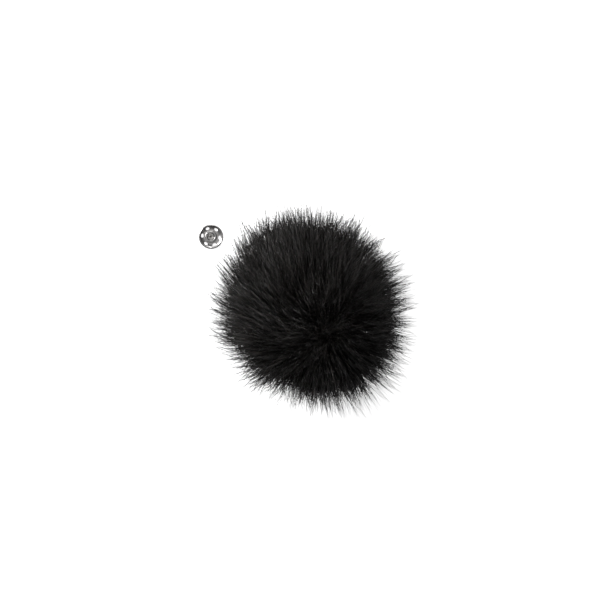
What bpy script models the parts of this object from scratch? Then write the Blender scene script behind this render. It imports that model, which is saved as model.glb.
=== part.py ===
"""Fur pom-pom with a sew-on press stud.

The pom-pom stands on its base. One half of the press stud is sewn under it, in a recess of the fur.
The other half lies loose beside it, mouth upwards, as it does before it is sewn to a hat.
Lengths are in metres, +Z is up, and the surface that everything stands on is Z = 0.
"""

import math

import bmesh
import bpy
from mathutils import Matrix, Vector

MM = 0.001
CLEARANCE = 0.3 * MM  # between pieces that touch

# Press stud: both plates, measured from the sewn side
STUD_RADIUS = 7.5 * MM
SHEET = 0.3 * MM
FACE_HEIGHT = 0.55 * MM  # the flange's face, where it is flat
DISH_START = 3.9 * MM
RIM_RADIUS = 0.5 * MM  # the rolled rim's own radius
RIM_HEIGHT = 1.25 * MM
RIM_MEETS_DISH = 115  # degrees round the rolled rim
HOLE_COUNT = 6
HOLE_RING_RADIUS = 5.25 * MM
HOLE_LENGTH = 2.5 * MM
HOLE_WIDTH = 1.6 * MM
HOLE_TURN = math.radians(-6.7)
HOLE_CUT_DEPTH = 6.0 * MM

# Press stud: the socket half
COLLAR_RADIUS = 3.4 * MM
COLLAR_HEIGHT = 2.9 * MM
SHOULDER = 0.45 * MM
MOUTH_RADIUS = 1.8 * MM
MOUTH_DEPTH = 0.55 * MM  # how far the rolled lip reaches down
MOUTH_TOP_RADIUS = 2.5 * MM
CUP_RADIUS = 2.9 * MM
CUP_WALL = 0.25 * MM
CUP_HEIGHT = 1.6 * MM
DIMPLE_RADIUS = 0.35 * MM
DIMPLE_DEPTH = 0.18 * MM
WIRE_RADIUS = 0.19 * MM
SPRING_HEIGHT = 1.9 * MM
SPRING_RADIUS = 2.7 * MM
LEG_OFFSET = 1.5 * MM
SPRING_END = math.radians(80)  # how far round the wall the spring's two ends reach

# Press stud: the ball stud, measured down from the flange's face
NECK_RADIUS = 1.1 * MM
BALL_RADIUS = 1.6 * MM
BALL_HALF_HEIGHT = 0.7 * MM
BALL_DROP = 1.95 * MM
TIP_CLEARANCE = 4.2 * MM  # between the ball and the surface, before the stud is pressed home
STUD_REST = TIP_CLEARANCE + BALL_DROP + BALL_HALF_HEIGHT

# Thread and felt, measured up from the stud plate's face
STUD_THREAD = 0.3 * MM
PATCH_THREAD = 0.3 * MM
PATCH_RADIUS = 12.0 * MM
PATCH_THICKNESS = 1.2 * MM
PATCH_BOTTOM = FACE_HEIGHT + CLEARANCE
PATCH_EDGE = 0.3 * MM
PATCH_STITCH_COUNT = 10

# Bag of knitted ground fabric, nearly flat where it is gathered
GATHER_THREAD = 0.35 * MM
GATHER_RADIUS = 5.5 * MM
GATHER_WAVE = 0.5 * MM
GATHER_STITCHES = 12
GATHER_HEIGHT = STUD_REST + PATCH_BOTTOM + PATCH_THICKNESS + CLEARANCE + GATHER_THREAD
BAG_BOTTOM = GATHER_HEIGHT + GATHER_THREAD + CLEARANCE
BAG_RADIUS = 25.0 * MM
BAG_DEPTH = 25.8 * MM
BAG_CROWN = 26.0 * MM
BAG_MIDDLE = BAG_BOTTOM + BAG_DEPTH
BAG_POWER = 4
BAG_THICKNESS = 1.0 * MM
TUCK_RADIUS = 2.5 * MM  # hole left where the mouth is drawn together
TUCK_LENGTH = 4.8 * MM
KNOT_RADIUS = 0.9 * MM
KNOT_LOOP = 0.45 * MM
KNOT_THREAD = 0.26 * MM
KNOT_HEIGHT = BAG_BOTTOM

# Fur
PILE_RADIUS = 56.0 * MM
PILE_MIDDLE = 50.0 * MM
PILE_CROWN = 52.0 * MM
PILE_DEPTH = 58.0 * MM  # the lower half of the form, before the surface cuts it off flat
RECESS_RADIUS = 13.6 * MM
RECESS_EDGE = 1.0 * MM

# Where the pieces stand: the box round all of them is centred on the origin
SOCKET_OFFSET = Vector((-60.0 * MM, 43.9 * MM, 0.0))  # from the pom-pom's axis to the loose half
POMPOM_X = (-SOCKET_OFFSET.x + STUD_RADIUS - PILE_RADIUS) / 2

ROUND_STEPS = 36
SOFT_STEPS = 28
PILE_STEPS = 44
ARC_STEPS = 8
CORNER_STEPS = 4
SHARP_ANGLE = math.radians(35)
WELD = 0.001 * MM


def make_material(name, colour, roughness, metallic=0.0):
    material = bpy.data.materials.new(name)
    material.use_nodes = True
    shader = material.node_tree.nodes["Principled BSDF"]
    shader.inputs["Base Color"].default_value = (*colour, 1.0)
    shader.inputs["Roughness"].default_value = roughness
    shader.inputs["Metallic"].default_value = metallic
    return material


def add_empty(name, location):
    empty = bpy.data.objects.new(name, None)
    empty.location = location
    bpy.context.scene.collection.objects.link(empty)
    return empty


def add_object(name, data, material, parent):
    data.materials.append(material)
    obj = bpy.data.objects.new(name, data)
    obj.parent = parent
    bpy.context.scene.collection.objects.link(obj)
    return obj


def lathe(name, outline, material, parent, steps=ROUND_STEPS):
    """Turn an outline of (radius, height) points about Z into a closed solid.

    An outline that starts and ends on the axis is left open there. Any other is closed on itself.
    """
    shape = bmesh.new()
    corners = [shape.verts.new((radius, 0.0, height)) for radius, height in outline]
    edges = [shape.edges.new(pair) for pair in zip(corners, corners[1:])]
    if outline[0][0] > WELD:
        edges.append(shape.edges.new((corners[-1], corners[0])))
    bmesh.ops.spin(
        shape,
        geom=corners + edges,
        cent=(0, 0, 0),
        axis=(0, 0, 1),
        angle=math.tau,
        steps=steps,
        use_merge=True,
    )
    bmesh.ops.remove_doubles(shape, verts=shape.verts, dist=WELD)
    bmesh.ops.recalc_face_normals(shape, faces=shape.faces)
    mesh = bpy.data.meshes.new(name)
    shape.to_mesh(mesh)
    shape.free()
    mesh.shade_smooth()
    mesh.set_sharp_from_angle(angle=SHARP_ANGLE)
    return add_object(name, mesh, material, parent)


def arc(centre, radii, start, end, steps=CORNER_STEPS):
    """Points of a round or oval arc in an outline's plane, from one angle to another, in degrees."""
    across, up = radii
    angles = [math.radians(start + (end - start) * step / steps) for step in range(steps + 1)]
    return [(centre[0] + across * math.cos(a), centre[1] + up * math.sin(a)) for a in angles]


def round_arc(centre, radius, start, end):
    return arc(centre, (radius, radius), start, end)


def smooth_path(points, steps=2):
    """Points along a smooth curve through the given points (a Catmull-Rom spline)."""
    ends = [points[0] * 2 - points[1], *points, points[-1] * 2 - points[-2]]
    path = []
    for before, start, end, after in zip(ends, ends[1:], ends[2:], ends[3:]):
        for step in range(steps):
            t = step / steps
            path.append(
                0.5 * (
                    2 * start
                    + (end - before) * t
                    + (2 * before - 5 * start + 4 * end - after) * t**2
                    + (3 * start - 3 * end + after - before) * t**3
                )
            )
    return path + [points[-1]]


def tube(name, path, radius, material, parent, closed=False):
    """A round wire or thread along a path of points."""
    curve = bpy.data.curves.new(name, "CURVE")
    curve.dimensions = "3D"
    curve.bevel_depth = radius
    curve.bevel_resolution = 2
    curve.use_fill_caps = True
    spline = curve.splines.new("POLY")
    spline.points.add(len(path) - 1)
    for point, place in zip(spline.points, path):
        point.co = (*place, 1.0)
    spline.use_cyclic_u = closed
    return add_object(name, curve, material, parent)


def cut_thread_holes(plate):
    """Cut the ring of oval sewing holes through a press stud's plate."""
    shape = bmesh.new()
    for number in range(HOLE_COUNT):
        turn = Matrix.Rotation(HOLE_TURN + math.tau * number / HOLE_COUNT, 4, "Z")
        place = Matrix.Translation((HOLE_RING_RADIUS, 0, 0))
        oval = Matrix.Diagonal((HOLE_WIDTH / 2, HOLE_LENGTH / 2, HOLE_CUT_DEPTH, 1))
        bmesh.ops.create_cone(
            shape,
            cap_ends=True,
            segments=20,
            radius1=1,
            radius2=1,
            depth=1,
            matrix=turn @ place @ oval,
        )
    mesh = bpy.data.meshes.new(plate.name + "_holes")
    shape.to_mesh(mesh)
    shape.free()
    cutter = bpy.data.objects.new(mesh.name, mesh)
    cutter.parent = plate.parent
    cutter.hide_render = True
    cutter.display_type = "WIRE"
    bpy.context.scene.collection.objects.link(cutter)
    cut = plate.modifiers.new("thread_holes", "BOOLEAN")
    cut.operation = "DIFFERENCE"
    cut.solver = "EXACT"
    cut.object = cutter


def plate_rim():
    """Outline of a plate from its dish out over the rolled rim, and back under it."""
    rim_centre = (STUD_RADIUS - RIM_RADIUS, RIM_HEIGHT - RIM_RADIUS)
    over = round_arc(rim_centre, RIM_RADIUS, RIM_MEETS_DISH, 0)
    under = round_arc(rim_centre, RIM_RADIUS - SHEET, 0, RIM_MEETS_DISH)
    width = over[0][0] - DISH_START
    rise = over[0][1] - FACE_HEIGHT
    dish = []
    for step in range(CORNER_STEPS + 1):
        across = step / (CORNER_STEPS + 1)
        dish.append((DISH_START + width * across, FACE_HEIGHT + rise * across**2))
    back = [(radius, height - SHEET) for radius, height in reversed(dish)]
    skirt = [(STUD_RADIUS, SHEET / 2), (STUD_RADIUS - SHEET / 2, 0.0), (STUD_RADIUS - SHEET, 0.0)]
    return [*dish, *over, *skirt, *under, *back]


def build_socket_plate(metal, parent):
    """Flange, rolled rim and collar, pressed from one sheet, mouth up."""
    mouth = (MOUTH_TOP_RADIUS, COLLAR_HEIGHT - MOUTH_DEPTH)
    mouth_roll = (MOUTH_TOP_RADIUS - MOUTH_RADIUS, MOUTH_DEPTH)
    mouth_back = (mouth_roll[0] - SHEET, mouth_roll[1] - SHEET)
    shoulder = (COLLAR_RADIUS - SHOULDER, COLLAR_HEIGHT - SHOULDER)
    outline = [
        *arc(mouth, mouth_roll, 180, 90),
        *round_arc(shoulder, SHOULDER, 90, 0),
        *round_arc((COLLAR_RADIUS + SHEET, FACE_HEIGHT + SHEET), SHEET, 180, 270),
        *plate_rim(),
        (COLLAR_RADIUS - SHEET, FACE_HEIGHT - SHEET),
        *round_arc(shoulder, SHOULDER - SHEET, 0, 90),
        *arc(mouth, mouth_back, 90, 180),
    ]
    plate = lathe("socket_plate", outline, metal, parent)
    cut_thread_holes(plate)


def build_socket_cup(metal, parent):
    """The closed floor and inner wall that the spring sits on."""
    inner = CUP_RADIUS - CUP_WALL
    outline = [
        (0.0, 0.0),
        (CUP_RADIUS, 0.0),
        (CUP_RADIUS, CUP_HEIGHT),
        (inner, CUP_HEIGHT),
        *round_arc((inner - SHEET, SHEET + SHEET), SHEET, 0, -90),
        (DIMPLE_RADIUS, SHEET),
        (DIMPLE_RADIUS / 2, SHEET - DIMPLE_DEPTH),
        (0.0, SHEET - DIMPLE_DEPTH),
    ]
    lathe("socket_cup", outline, metal, parent)


def build_socket_spring(metal, parent):
    """A ring spring with two straight legs, which part for the ball and close behind it."""
    leg = math.acos(LEG_OFFSET / SPRING_RADIUS)
    right_end = (SPRING_END, leg)
    wall = (-leg, leg - math.pi)
    left_end = (math.pi - leg, math.pi - SPRING_END)
    wire = []
    for start, end in (right_end, wall, left_end):
        for step in range(ARC_STEPS + 1):
            angle = start + (end - start) * step / ARC_STEPS
            side = Vector((math.cos(angle), math.sin(angle), 0.0)) * SPRING_RADIUS
            wire.append(side + Vector((0.0, 0.0, SPRING_HEIGHT)))
    tube("socket_spring", wire, WIRE_RADIUS, metal, parent)


def ball_side(inset):
    """Half outline of the ball stud from its tip to its neck, moved in by inset."""
    radii = (BALL_RADIUS - inset, BALL_HALF_HEIGHT - inset)
    neck = math.degrees(math.acos((NECK_RADIUS - inset) / radii[0]))
    return arc((0.0, -BALL_DROP), radii, -90, neck, ARC_STEPS)


def build_stud_plate(metal, parent):
    """Flange, rolled rim and hollow ball stud, pressed from one sheet, ball down."""
    neck_foot = (NECK_RADIUS + SHEET, -SHEET)
    outline = [
        *ball_side(0.0),
        *round_arc(neck_foot, SHEET, 180, 90),
        *[(radius, FACE_HEIGHT - height) for radius, height in plate_rim()],
        *round_arc(neck_foot, 2 * SHEET, 90, 180),
        *reversed(ball_side(SHEET)),
    ]
    plate = lathe("stud_plate", outline, metal, parent)
    cut_thread_holes(plate)


def build_base_patch(felt, parent):
    """A felt disc with slightly rounded edges."""
    rim = PATCH_RADIUS - PATCH_EDGE
    outline = [
        (0.0, PATCH_BOTTOM),
        *round_arc((rim, PATCH_BOTTOM + PATCH_EDGE), PATCH_EDGE, -90, 0),
        *round_arc((rim, PATCH_BOTTOM + PATCH_THICKNESS - PATCH_EDGE), PATCH_EDGE, 0, 90),
        (0.0, PATCH_BOTTOM + PATCH_THICKNESS),
    ]
    lathe("base_patch", outline, felt, parent, steps=SOFT_STEPS)


def build_stitches(prefix, count, turn, profile, radius, thread, parent):
    """A ring of equal stitches, each one a thread through (radius, height) points."""
    for number in range(count):
        angle = turn + math.tau * number / count
        outward = Vector((math.cos(angle), math.sin(angle), 0.0))
        points = [outward * (reach * MM) + Vector((0.0, 0.0, height * MM)) for reach, height in profile]
        tube(f"{prefix}_{number + 1}", smooth_path(points), radius, thread, parent)


def bag_side(inset, mouth_radius):
    """Half outline of the bag from its crown to its mouth, moved in by inset.

    The upper half is an ellipse. The lower half is a superellipse, nearly flat underneath.
    """
    radius, crown, depth = BAG_RADIUS - inset, BAG_CROWN - inset, BAG_DEPTH - inset
    across = mouth_radius / radius
    down = (1 - across**BAG_POWER) ** (1 / BAG_POWER)
    last = math.atan2(down, across)
    side = []
    for step in range(ARC_STEPS):
        angle = math.pi / 2 * step / ARC_STEPS
        side.append((radius * math.sin(angle), BAG_MIDDLE + crown * math.cos(angle)))
    for step in range(ARC_STEPS + 1):
        angle = last * step / ARC_STEPS
        scale = (math.cos(angle) ** BAG_POWER + math.sin(angle) ** BAG_POWER) ** (-1 / BAG_POWER)
        side.append((radius * math.cos(angle) * scale, BAG_MIDDLE - depth * math.sin(angle) * scale))
    return side


def build_bag(knit, filling, thread, parent):
    """The gathered ground fabric, its stuffing, and the thread and knot that close it."""
    tuck_outside = TUCK_RADIUS + BAG_THICKNESS
    tuck_top = BAG_BOTTOM + TUCK_LENGTH
    fabric = [
        *bag_side(0.0, tuck_outside),
        (TUCK_RADIUS, BAG_BOTTOM + BAG_THICKNESS / 2),
        (TUCK_RADIUS, tuck_top),
        (tuck_outside, tuck_top),
        (tuck_outside, BAG_BOTTOM + BAG_THICKNESS * 1.5),
        *reversed(bag_side(BAG_THICKNESS, tuck_outside + BAG_THICKNESS)),
    ]
    lathe("fur_backing", fabric, knit, parent, steps=SOFT_STEPS)
    pocket = tuck_outside + CLEARANCE
    inside = BAG_THICKNESS + CLEARANCE
    fill = [
        *bag_side(inside, pocket + BAG_THICKNESS),
        (pocket, BAG_BOTTOM + BAG_THICKNESS * 1.5 + inside),
        (pocket, tuck_top + CLEARANCE),
        (0.0, tuck_top + CLEARANCE),
    ]
    lathe("stuffing", fill, filling, parent, steps=SOFT_STEPS)

    ring = []
    for step in range(GATHER_STITCHES * 4):
        angle = math.tau * step / (GATHER_STITCHES * 4)
        reach = GATHER_RADIUS + GATHER_WAVE * math.cos(GATHER_STITCHES * angle)
        ring.append(Vector((reach * math.cos(angle), reach * math.sin(angle), GATHER_HEIGHT)))
    tube("gathering_thread", ring, GATHER_THREAD, thread, parent, closed=True)

    knot = []
    for step in range(ROUND_STEPS):
        angle = math.tau * step / ROUND_STEPS
        reach = KNOT_RADIUS + KNOT_LOOP * math.cos(3 * angle)
        height = KNOT_HEIGHT + KNOT_LOOP * math.sin(3 * angle)
        knot.append(Vector((reach * math.cos(2 * angle), reach * math.sin(2 * angle), height)))
    tube("closing_knot", knot, KNOT_THREAD, thread, parent, closed=True)


def build_pile(fur, parent):
    """The fur's outer form around the bag, flat where it stands, with the stud's recess under it."""
    angles = [math.pi / 2 * step / ARC_STEPS for step in range(ARC_STEPS)]
    crown = [(PILE_RADIUS * math.sin(a), PILE_MIDDLE + PILE_CROWN * math.cos(a)) for a in angles]
    ground = math.asin(PILE_MIDDLE / PILE_DEPTH)
    angles = [ground * step / ARC_STEPS for step in range(ARC_STEPS + 1)]
    flank = [(PILE_RADIUS * math.cos(a), PILE_MIDDLE - PILE_DEPTH * math.sin(a)) for a in angles]
    outline = [
        *crown,
        *flank,
        (RECESS_RADIUS + RECESS_EDGE, 0.0),
        (RECESS_RADIUS, RECESS_EDGE),
        *reversed(bag_side(-CLEARANCE, RECESS_RADIUS)),
    ]
    lathe("fur_pile", outline, fur, parent, steps=PILE_STEPS)


def main():
    for obj in list(bpy.data.objects):
        bpy.data.objects.remove(obj, do_unlink=True)

    fur = make_material("black_fur", (0.012, 0.011, 0.011), 0.5)
    knit = make_material("black_knit", (0.02, 0.02, 0.022), 0.9)
    filling = make_material("white_filling", (0.85, 0.85, 0.83), 0.95)
    felt = make_material("black_felt", (0.025, 0.025, 0.027), 0.95)
    thread = make_material("black_thread", (0.03, 0.03, 0.03), 0.6)
    plating = make_material("dark_nickel", (0.4, 0.39, 0.38), 0.3, metallic=1.0)
    spring_wire = make_material("spring_wire", (0.55, 0.54, 0.52), 0.25, metallic=1.0)

    pompom = add_empty("pompom_axis", (POMPOM_X, 0.0, 0.0))
    build_pile(fur, pompom)
    build_bag(knit, filling, thread, pompom)

    stud = add_empty("stud_axis", (POMPOM_X, 0.0, STUD_REST))
    build_stud_plate(plating, stud)
    build_base_patch(felt, stud)
    through_hole = (
        (5.25, 0.65),
        (5.25, -0.2),
        (5.85, -0.95),
        (7.0, -1.12),
        (7.85, -0.75),
        (8.05, 0.0),
        (8.05, 0.65),
    )
    build_stitches("stud_stitch", HOLE_COUNT, HOLE_TURN, through_hole, STUD_THREAD, thread, stud)
    round_edge = (
        (10.2, 0.53),
        (10.9, 0.25),
        (11.9, 0.3),
        (12.6, 1.05),
        (12.65, 2.25),
        (12.6, 3.45),
    )
    build_stitches("patch_stitch", PATCH_STITCH_COUNT, 0.0, round_edge, PATCH_THREAD, thread, stud)

    socket = add_empty("socket_axis", (POMPOM_X + SOCKET_OFFSET.x, SOCKET_OFFSET.y, 0.0))
    build_socket_plate(plating, socket)
    build_socket_cup(plating, socket)
    build_socket_spring(spring_wire, socket)


main()
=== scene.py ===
"""Looks of the fur pom-pom and its press stud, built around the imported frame."""

import math

import bmesh
import bpy
import numpy as np
from mathutils import Matrix, Vector
from mathutils.noise import noise_vector, seed_set


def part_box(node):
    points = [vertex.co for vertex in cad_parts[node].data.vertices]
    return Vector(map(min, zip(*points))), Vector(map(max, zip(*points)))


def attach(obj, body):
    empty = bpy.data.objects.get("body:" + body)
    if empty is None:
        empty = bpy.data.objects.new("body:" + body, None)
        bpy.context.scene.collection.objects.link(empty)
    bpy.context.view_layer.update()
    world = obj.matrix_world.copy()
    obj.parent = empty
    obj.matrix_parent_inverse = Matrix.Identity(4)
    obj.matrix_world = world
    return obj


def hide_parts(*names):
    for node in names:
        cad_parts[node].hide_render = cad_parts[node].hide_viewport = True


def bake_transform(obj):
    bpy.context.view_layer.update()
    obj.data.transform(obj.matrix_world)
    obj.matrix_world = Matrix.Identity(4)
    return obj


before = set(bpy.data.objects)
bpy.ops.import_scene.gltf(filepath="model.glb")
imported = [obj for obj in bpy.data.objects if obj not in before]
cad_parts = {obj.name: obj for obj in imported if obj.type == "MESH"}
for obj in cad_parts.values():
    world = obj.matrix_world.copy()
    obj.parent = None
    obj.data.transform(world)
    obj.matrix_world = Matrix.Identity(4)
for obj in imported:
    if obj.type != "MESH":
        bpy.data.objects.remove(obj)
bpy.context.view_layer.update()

MM = 0.001
# Without a seed, Blender's noise differs from run to run
NOISE_SEED = 5
seed_set(NOISE_SEED)

# Places and sizes that the frame gives
PILE_LOW, PILE_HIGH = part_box("fur_pile")
BAG_LOW, BAG_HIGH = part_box("fur_backing")
SOCKET_LOW, SOCKET_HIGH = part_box("socket_plate")
AXIS = Vector(((PILE_LOW.x + PILE_HIGH.x) / 2, (PILE_LOW.y + PILE_HIGH.y) / 2, 0.0))
PILE_RADIUS = (PILE_HIGH.x - PILE_LOW.x) / 2
PILE_TOP = PILE_HIGH.z
BAG_RADIUS = (BAG_HIGH.x - BAG_LOW.x) / 2
# The bag's depth below its widest ring
BAG_DEPTH = 25.8 * MM
BAG_MIDDLE = BAG_LOW.z + BAG_DEPTH
BAG_CENTRE = np.array([AXIS.x, AXIS.y, BAG_MIDDLE])


# ---- stage

# The camera sees the floor and the sky as white; this is how strongly each lights the object
FLOOR_GLOW = 0.15
SKY_GLOW = 0.02
FLOOR_HALF = 3.0
FLOOR_DROP = 0.2 * MM
LENS = 294
CAMERA_SHIFT = (-2.9 * MM, 2.4 * MM)
CAMERA_HEIGHT = 3.025
LIGHTS_AIM = (0, 0, 0.05)
# Round lights: name, way to the light, distance and diameter in metres, power in watts
LIGHTS = [("key", (-0.74, 0.43, 0.50), 1.2, 0.3, 14.7),
          ("top", (0.0, 0.85, 0.50), 1.2, 0.6, 4.4),
          ("panel", (-0.40, 0.28, 0.87), 2.0, 1.0, 1.7),
          ("softbox", (-0.03, 0.02, 1), 3.3, 1.8, 4.8)]


def show(name, data):
    """A new object of the given data, in the scene."""
    made = bpy.data.objects.new(name, data)
    bpy.context.scene.collection.objects.link(made)
    return made


def camera_only(tree, seen, elsewhere):
    """A strength that camera rays meet as seen, and all light in the scene as elsewhere."""
    path = tree.nodes.new("ShaderNodeLightPath")
    strength = tree.nodes.new("ShaderNodeMix")
    strength.inputs["A"].default_value = elsewhere
    strength.inputs["B"].default_value = seen
    tree.links.new(path.outputs["Is Camera Ray"], strength.inputs["Factor"])
    return strength.outputs["Result"]


def blank_material(name):
    """A new material, its node tree and its shader."""
    material = bpy.data.materials.new(name)
    material.use_nodes = True
    return material, material.node_tree, material.node_tree.nodes["Principled BSDF"]


def build_stage():
    """The pale floor and sky."""
    floor_material, tree, shader = blank_material("floor")
    shader.inputs["Base Color"].default_value = (0.9, 0.9, 0.9, 1)
    shader.inputs["Roughness"].default_value = 0.9
    shader.inputs["Specular IOR Level"].default_value = 0.0
    shader.inputs["Emission Color"].default_value = (1, 1, 1, 1)
    tree.links.new(camera_only(tree, 1.0, FLOOR_GLOW), shader.inputs["Emission Strength"])
    corners = [(x * FLOOR_HALF, y * FLOOR_HALF, 0) for x, y in ((-1, -1), (1, -1), (1, 1), (-1, 1))]
    mesh = bpy.data.meshes.new("floor")
    mesh.from_pydata(corners, [], [(0, 1, 2, 3)])
    mesh.materials.append(floor_material)
    floor = show("floor", mesh)
    floor.location.z = -FLOOR_DROP

    world = bpy.data.worlds.new("studio")
    bpy.context.scene.world = world
    world.use_nodes = True
    tree = world.node_tree
    background = tree.nodes["Background"]
    background.inputs["Color"].default_value = (0.95, 0.97, 1.0, 1)
    tree.links.new(camera_only(tree, 1.0, SKY_GLOW), background.inputs["Strength"])


def add_light(name, direction, distance, size, energy):
    data = bpy.data.lights.new(name, "AREA")
    data.shape = "DISK"
    data.size = size
    data.energy = energy
    light = show(name, data)
    direction = Vector(direction).normalized()
    light.location = Vector(LIGHTS_AIM) + direction * distance
    light.rotation_euler = direction.to_track_quat("Z", "Y").to_euler()


def build_camera():
    data = bpy.data.cameras.new("camera")
    data.lens = LENS
    data.clip_start = 0.1
    data.clip_end = 20
    camera = show("camera", data)
    camera.location = (AXIS.x + CAMERA_SHIFT[0], AXIS.y + CAMERA_SHIFT[1], CAMERA_HEIGHT)
    bpy.context.scene.camera = camera
    bpy.context.scene.view_settings.view_transform = "Standard"


build_stage()
build_camera()
for light_row in LIGHTS:
    add_light(*light_row)


# ---- mesh helpers

WELD = 0.001 * MM
SHARP_ANGLE = math.radians(50)
# A direction that no path here starts along
OBLIQUE = (0.3, 0.5, 0.8)
THREAD_STEP = 0.12 * MM
# A ply's distance from its thread's middle and its own radius, as shares of the thread's radius
PLY_OFFSET = 0.52
PLY_RADIUS = 0.5


def unit(v):
    """Vectors brought to length one."""
    return v / np.linalg.norm(v, axis=-1, keepdims=True)


def random_directions(rng, count):
    """Evenly spread directions (a Fibonacci lattice), slightly jittered."""
    number = np.arange(count) + 0.5
    height = 1 - 2 * number / count
    turn = number * math.pi * (3 - math.sqrt(5))
    flat = np.sqrt(1 - height**2)
    grid = np.stack([flat * np.cos(turn), flat * np.sin(turn), height], axis=1)
    return unit(grid + rng.normal(0, 1.2 / math.sqrt(count), grid.shape))


def arc(centre, radii, start, end, steps=10):
    """Points of a round or oval arc in an outline's plane, from one angle to another, in degrees."""
    angles = np.radians(np.linspace(start, end, steps + 1))
    return [(centre[0] + radii[0] * math.cos(a), centre[1] + radii[1] * math.sin(a)) for a in angles]


def round_arc(centre, radius, start, end, steps=10):
    """An arc with one radius."""
    return arc(centre, (radius, radius), start, end, steps)


def add_mesh(name, mesh, material, place=(0, 0, 0)):
    """Put a mesh into the scene in one material."""
    mesh.materials.append(material)
    obj = show(name, mesh)
    obj.location = place
    return obj


def mesh_of(name, shape):
    """A mesh of a finished bmesh, which is freed."""
    mesh = bpy.data.meshes.new(name)
    shape.to_mesh(mesh)
    shape.free()
    return mesh


def turned(name, outline, place, material, steps=160):
    """Turn an outline of (radius, height) points about an upright axis at place."""
    shape = bmesh.new()
    corners = [shape.verts.new((radius, 0.0, height)) for radius, height in outline]
    edges = [shape.edges.new(pair) for pair in zip(corners, corners[1:])]
    if outline[0][0] > WELD:
        edges.append(shape.edges.new((corners[-1], corners[0])))
    bmesh.ops.spin(shape, geom=corners + edges, cent=(0, 0, 0), axis=(0, 0, 1), angle=math.tau,
                   steps=steps, use_merge=True)
    bmesh.ops.remove_doubles(shape, verts=shape.verts, dist=WELD)
    bmesh.ops.recalc_face_normals(shape, faces=shape.faces)
    return add_mesh(name, mesh_of(name, shape), material, place)


def apply_modifiers(obj):
    """Keep what the modifiers make of the mesh, and leave none on it."""
    view = bpy.context.evaluated_depsgraph_get()
    mesh = bpy.data.meshes.new_from_object(obj.evaluated_get(view))
    obj.modifiers.clear()
    obj.data = mesh


def smooth_path(points, gap):
    """Points about gap apart along a smooth curve through the given points (a Catmull-Rom spline)."""
    points = np.array(points, dtype=float)
    ends = np.concatenate([[2 * points[0] - points[1]], points, [2 * points[-1] - points[-2]]])
    path = []
    for before, start, end, after in zip(ends, ends[1:], ends[2:], ends[3:]):
        steps = max(1, round(np.linalg.norm(end - start) / gap))
        t = (np.arange(steps) / steps)[:, None]
        squared = (2 * before - 5 * start + 4 * end - after) * t**2
        cubed = (3 * start - 3 * end + after - before) * t**3
        path.append(0.5 * (2 * start + (end - before) * t + squared + cubed))
    return np.concatenate([*path, points[-1:]])


def run_along(path):
    """How far along a path each of its points is."""
    return np.concatenate([[0], np.cumsum(np.linalg.norm(np.diff(path, axis=0), axis=1))])


def frames(path):
    """Two directions across a path at each of its points, which don't turn about it."""
    along = unit(np.gradient(path, axis=0))
    first = np.cross(along[0], OBLIQUE)
    across = [first / np.linalg.norm(first)]
    for direction in along[1:]:
        turned_on = across[-1] - direction * (across[-1] @ direction)
        across.append(turned_on / np.linalg.norm(turned_on))
    across = np.array(across)
    return across, np.cross(along, across)


def tube_mesh(name, tubes, sides):
    """Round tubes, each a path and a radius, with closed ends, in one mesh."""
    verts, faces, count = [], [], 0
    for path, radius in tubes:
        across, over = frames(path)
        for side in range(sides):
            angle = math.tau * side / sides
            verts.append(path + radius * (across * math.cos(angle) + over * math.sin(angle)))
        length = len(path)
        for side in range(sides):
            a, b = count + side * length, count + (side + 1) % sides * length
            faces += [(a + k, b + k, b + k + 1, a + k + 1) for k in range(length - 1)]
        faces.append([count + side * length for side in reversed(range(sides))])
        faces.append([count + side * length + length - 1 for side in range(sides)])
        count += sides * length
    mesh = bpy.data.meshes.new(name)
    mesh.from_pydata(np.concatenate(verts).tolist(), [], faces)
    mesh.shade_smooth()
    return mesh


def twisted_thread(name, points, radius, material, place=(0, 0, 0), plies=3, pitch=1.5 * MM):
    """A thread of twisted plies along a path."""
    path = smooth_path(points, THREAD_STEP)
    across, over = frames(path)
    run = run_along(path)
    tubes = []
    for ply in range(plies):
        angle = (math.tau * (run / pitch + ply / plies))[:, None]
        offset = PLY_OFFSET * radius * (across * np.cos(angle) + over * np.sin(angle))
        tubes.append((path + offset, PLY_RADIUS * radius))
    return add_mesh(name, tube_mesh(name, tubes, 8), material, place)


def join(pieces, name):
    """Make one object of several that share a place and a material."""
    shape = bmesh.new()
    for piece in pieces:
        shape.from_mesh(piece.data)
    material, place = pieces[0].data.materials[0], pieces[0].location.copy()
    for piece in pieces:
        bpy.data.objects.remove(piece)
    return add_mesh(name, mesh_of(name, shape), material, place)


def roughen(mesh, amount, scale, seed):
    """Push the points of a mesh about by smooth noise."""
    for vertex in mesh.vertices:
        vertex.co += noise_vector(vertex.co * scale + Vector((seed, 0, 0))) * amount


# ---- materials

KNIT_COLUMNS = 130
KNIT_ROWS = 95
# Plated metal is painted darker below this height, a painted shade on its low parts
PAINTED_SHADE_HEIGHT = 0.8 * MM
PAINTED_SHADE_TONE = (0.86, 0.84, 0.82)
# Blender's wave texture turns by this many radians in one unit of its scale
WAVE_TURN = 20


def node(tree, kind, **settings):
    """A node with the given properties and input values."""
    made = tree.nodes.new(f"ShaderNode{kind}")
    for key, value in settings.items():
        if hasattr(made, key):
            setattr(made, key, value)
        else:
            made.inputs[key.replace("_", " ")].default_value = value
    return made


def noise(tree, place, scale, detail=4.0, roughness=0.6):
    """Values of a smooth noise at a place."""
    made = node(tree, "TexNoise", Scale=scale, Detail=detail, Roughness=roughness)
    tree.links.new(place, made.inputs["Vector"])
    return made.outputs["Fac"]


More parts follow.
